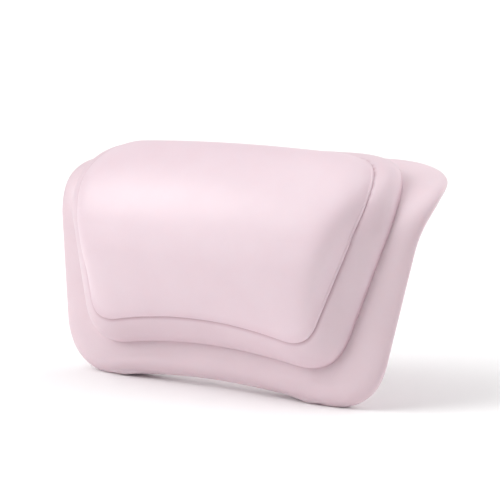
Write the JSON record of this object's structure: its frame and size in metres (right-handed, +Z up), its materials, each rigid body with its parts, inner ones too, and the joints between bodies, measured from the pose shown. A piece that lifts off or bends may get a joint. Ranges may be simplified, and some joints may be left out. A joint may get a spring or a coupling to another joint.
{
  "type": "bath pillow",
  "caption": "Moulded foam bath pillow in stepped layers, with a lip that sweeps back over the bath rim and suction cups on its back panel.",
  "frame": {"origin": "on the ground, under the centre of the bounding box", "axes": "+X along the width, the left and right halves mirror each other in it; the head rests on the -Y side and the cups face +Y; +Z is up"},
  "size_m": [0.3, 0.1284, 0.1641],
  "materials": {
    "shell_foam": "satin moulded foam skin, pale pink",
    "tier_foam": "satin moulded foam skin, pale pink",
    "pad_skin": "satin soft skin, pale pink",
    "core_foam": "open foam",
    "plate": "matte moulded",
    "socket": "matte moulded",
    "cup": "clear soft vinyl"
  },
  "bodies": {
    "pillow": {"back_shell": "shell_foam", "middle_tier": "tier_foam", "head_pad_skin": "pad_skin", "head_pad_core": "core_foam", "stiffener_plate": "plate", "cup_socket_upper_left": "socket", "cup_socket_upper_right": "socket", "cup_socket_lower_left": "socket", "cup_socket_lower_right": "socket"},
    "upper_left_cup": {"suction_cup_upper_left": "cup"},
    "upper_right_cup": {"suction_cup_upper_right": "cup"},
    "lower_left_cup": {"suction_cup_lower_left": "cup"},
    "lower_right_cup": {"suction_cup_lower_right": "cup"}
  },
  "joints": [
    {"name": "upper_left_cup_swivel", "type": "hinge", "parent": "pillow", "child": "upper_left_cup", "pos_m": [-0.086, -0.01532, 0.08402], "axis": [0, 0.9905, -0.1374], "continuous": true},
    {"name": "upper_right_cup_swivel", "type": "hinge", "parent": "pillow", "child": "upper_right_cup", "pos_m": [0.086, -0.01532, 0.08402], "axis": [0, 0.9905, -0.1374], "continuous": true},
    {"name": "lower_left_cup_swivel", "type": "hinge", "parent": "pillow", "child": "lower_left_cup", "pos_m": [-0.05, -0.02123, 0.04143], "axis": [0, 0.9905, -0.1374], "continuous": true},
    {"name": "lower_right_cup_swivel", "type": "hinge", "parent": "pillow", "child": "lower_right_cup", "pos_m": [0.05, -0.02123, 0.04143], "axis": [0, 0.9905, -0.1374], "continuous": true}
  ]
}
